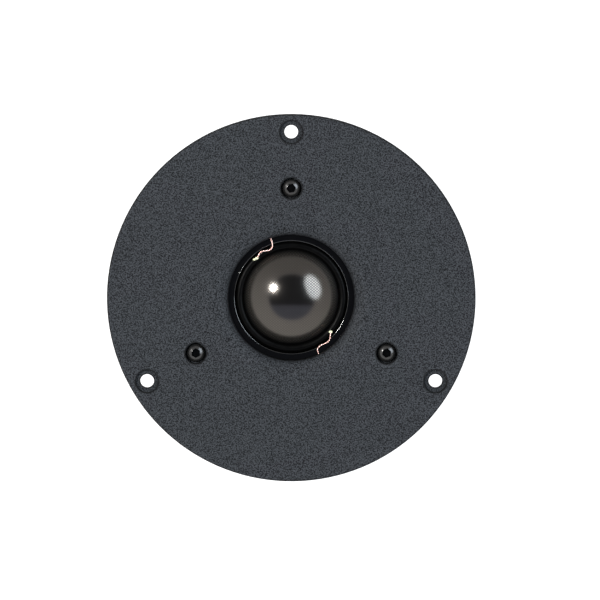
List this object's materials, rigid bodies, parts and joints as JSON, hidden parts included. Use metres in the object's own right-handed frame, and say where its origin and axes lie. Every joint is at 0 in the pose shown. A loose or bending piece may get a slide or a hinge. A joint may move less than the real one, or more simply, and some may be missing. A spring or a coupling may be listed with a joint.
{
  "type": "dome tweeter",
  "caption": "Round soft-dome tweeter with a flat dark metal faceplate, a recessed textile dome, a ring magnet motor, a sealed rear chamber and push-on terminals.",
  "frame": {"origin": "on the dome's axis, on the rear face of the faceplate's flange, which is the face that comes to the baffle (through its 1 mm gasket)", "axes": "+Z along the dome's axis, the way the sound leaves; +Y towards the fixing hole that is shown uppermost; +X to the right when seen from the front"},
  "size_m": [0.11, 0.11, 0.0559],
  "materials": {
    "faceplate": "fine-textured dark grey powder coat",
    "flange_gasket": "black closed-cell foam",
    "black_screw": "black oxide",
    "ring_plastic": "polished black",
    "pin": "ground",
    "plated_steel": "zinc plated",
    "ferrite": "matt dark grey ferrite",
    "copper": "bright copper",
    "felt": "grey felt",
    "dome_cloth": "brown-grey woven cloth with a clear coating",
    "coil_former": "thin foil",
    "coil_winding": "copper-clad aluminium wire",
    "surround_cloth": "black doped cloth",
    "lead_wire": "bare braided copper",
    "glue": "pale yellow adhesive",
    "tinned_strip": "tinned",
    "solder": "bright solder",
    "block_plastic": "black moulded",
    "terminal_brass": "tin-flashed brass",
    "rivet_brass": "nickel-flashed brass",
    "red_fibre": "red fibre",
    "chamber_plastic": "fine satin moulded",
    "wadding": "loose white polyester"
  },
  "bodies": {
    "motor": {"faceplate": "faceplate", "flange_gasket": "flange_gasket", "faceplate_screws": "black_screw", "diaphragm_ring": "ring_plastic", "locating_pins": "pin", "top_plate": "plated_steel", "magnet_ring": "ferrite", "back_plate": "plated_steel", "pole_piece": "plated_steel", "pole_cap": "copper", "pole_felt": "felt", "vent_sleeve": "felt", "surround": "surround_cloth", "lead_wire_positive": "lead_wire", "lead_wire_negative": "lead_wire", "lead_glue": "glue", "contact_strip_positive": "tinned_strip", "contact_strip_negative": "tinned_strip", "solder_joints": "solder", "terminal_block_positive": "block_plastic", "terminal_block_negative": "block_plastic", "terminal_tab_positive": "terminal_brass", "terminal_tab_negative": "terminal_brass", "terminal_rivets": "rivet_brass", "polarity_washer": "red_fibre", "chamber_gasket": "flange_gasket", "rear_chamber": "chamber_plastic", "chamber_screws": "black_screw", "chamber_wadding": "wadding"},
    "diaphragm": {"dome": "dome_cloth", "coil_former": "coil_former", "voice_coil": "coil_winding"}
  },
  "joints": [
    {"name": "dome_travel", "type": "slide", "parent": "motor", "child": "diaphragm", "axis": [0, 0, 1], "range_m": [-0.0008, 0.0008], "stiffness_N_per_m": 10000, "deforming": ["surround", "lead_wire_positive", "lead_wire_negative", "lead_glue"]}
  ]
}
